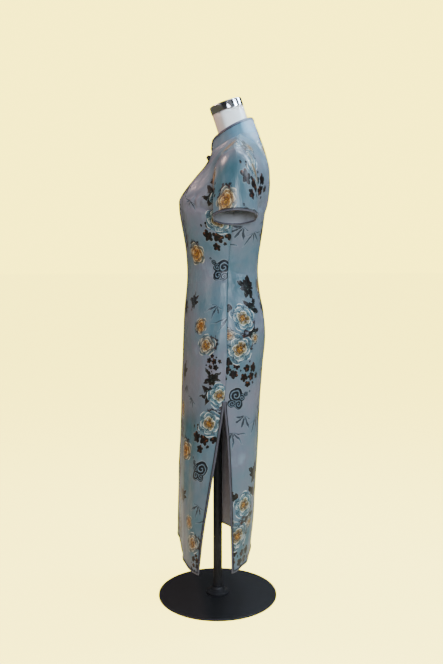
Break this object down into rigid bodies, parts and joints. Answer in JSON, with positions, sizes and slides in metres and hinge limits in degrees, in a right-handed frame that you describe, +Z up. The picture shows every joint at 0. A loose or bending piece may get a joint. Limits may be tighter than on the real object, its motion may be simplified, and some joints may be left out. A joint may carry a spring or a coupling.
{
  "type": "cheongsam dress on a limbless dress form",
  "caption": "Full-length fitted cheongsam with stand collar, short set-in sleeves, diagonal opening, knotted frogs and high side slits, on a limbless dress form with a pole stand.",
  "frame": {"origin": "centre of the stand's base plate, on the floor under the pole", "axes": "+X to the wearer's left, -Y to the wearer's front, +Z up"},
  "size_m": [0.5138, 0.36, 1.4867],
  "materials": {
    "satin_print": "printed silk satin, slate blue to teal, with peonies, dark leaves, bamboo and curled clouds",
    "satin_grey": "grey satin bias binding",
    "satin_black": "near-black satin cord and piping",
    "form_white": "smooth off-white lacquered shell",
    "cap_chrome": "polished",
    "stand_black": "black powder coat"
  },
  "bodies": {
    "root": {"front_panel": "satin_print", "front_underlap": "satin_print", "back_panel": "satin_print", "sleeve_left": "satin_print", "sleeve_right": "satin_print", "collar": "satin_print", "front_hem_binding": "satin_grey", "back_hem_binding": "satin_grey", "opening_binding": "satin_grey", "collar_binding": "satin_grey", "cuff_left_binding": "satin_grey", "cuff_right_binding": "satin_grey", "front_hem_piping": "satin_black", "back_hem_piping": "satin_black", "opening_piping": "satin_black", "collar_piping": "satin_black", "cuff_left_piping": "satin_black", "cuff_right_piping": "satin_black", "frog_throat": "satin_black", "frog_chest": "satin_black", "frog_underarm": "satin_black", "form_body": "form_white", "neck_cap": "cap_chrome", "stand_pole": "stand_black", "stand_flange": "stand_black", "stand_base": "stand_black"}
  },
  "joints": []
}
